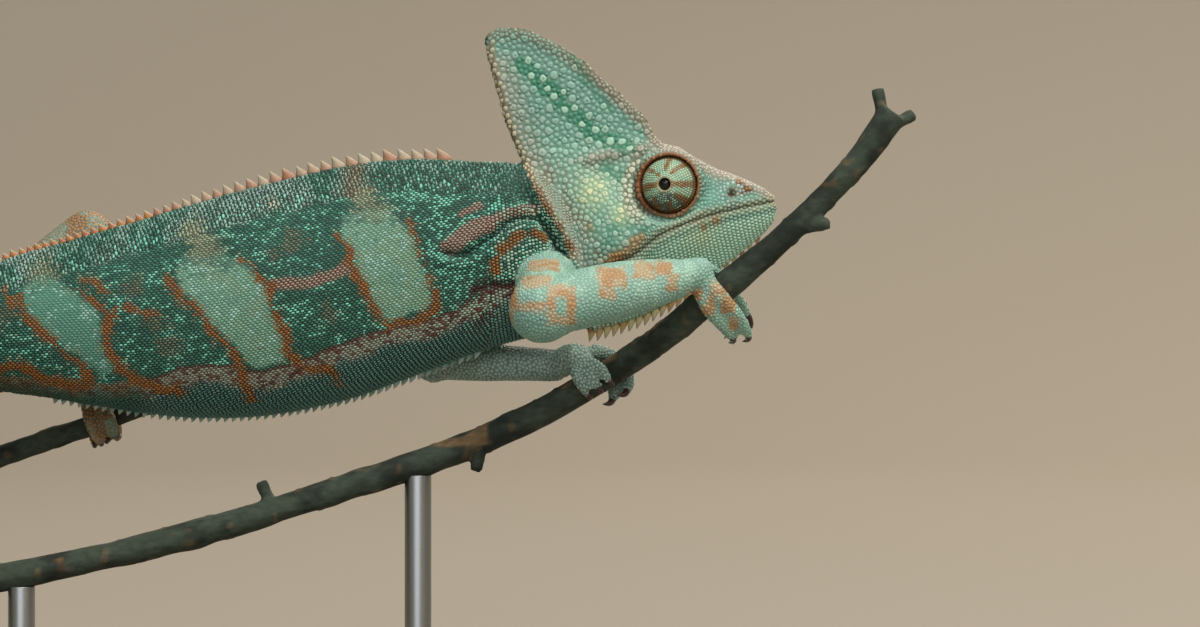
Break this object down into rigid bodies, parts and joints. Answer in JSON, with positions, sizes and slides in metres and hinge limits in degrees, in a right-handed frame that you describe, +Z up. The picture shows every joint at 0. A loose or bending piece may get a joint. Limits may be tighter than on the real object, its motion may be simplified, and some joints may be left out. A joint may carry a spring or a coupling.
{
  "type": "veiled chameleon model",
  "caption": "Life-size still model of an adult veiled chameleon gripping a cut length of branch, held on a flat display base by short rods.",
  "frame": {"origin": "middle of the model's footprint at the underside of the stand's base", "axes": "+X the way the animal faces, +Y its left side, +Z up"},
  "size_m": [0.2777, 0.096, 0.1835],
  "materials": {
    "body_skin": "small domed scales, teal green with turquoise speckle, pale patches and rust lines, satin",
    "head_skin": "rounded scales and tubercles, pale grey green, satin",
    "limb_skin": "small rounded scales, pale mint with peach blotches, satin",
    "eye_lid": "fine ringed scales, aqua with rust bars, satin",
    "eye": "black, wet gloss",
    "claw": "dark brown horn, smooth",
    "spine": "soft pale cream to orange spines, satin",
    "bark": "grey brown smooth bark with lighter scrapes and leaf scars, matt",
    "stand_wood": "dark stained walnut, satin varnish",
    "stand_steel": "brushed stainless steel rod"
  },
  "bodies": {
    "root": {"head": "head_skin", "lower_jaw": "head_skin", "eye_turret_right": "eye_lid", "eyeball_right": "eye", "eye_turret_left": "eye_lid", "eyeball_left": "eye", "neck": "body_skin", "chest": "body_skin", "belly": "body_skin", "pelvis": "body_skin", "upper_arm_right": "limb_skin", "forearm_right": "limb_skin", "hand_right": "limb_skin", "upper_arm_left": "limb_skin", "forearm_left": "limb_skin", "hand_left": "limb_skin", "thigh_right": "limb_skin", "shank_right": "limb_skin", "foot_right": "limb_skin", "thigh_left": "limb_skin", "shank_left": "limb_skin", "foot_left": "limb_skin", "tail_1": "body_skin", "tail_2": "body_skin", "tail_3": "body_skin", "tail_4": "body_skin", "tail_5": "body_skin", "perch_branch": "bark", "perch_shoot": "bark", "stand_base": "stand_wood", "stand_rod_1": "stand_steel", "stand_rod_2": "stand_steel"}
  },
  "joints": []
}
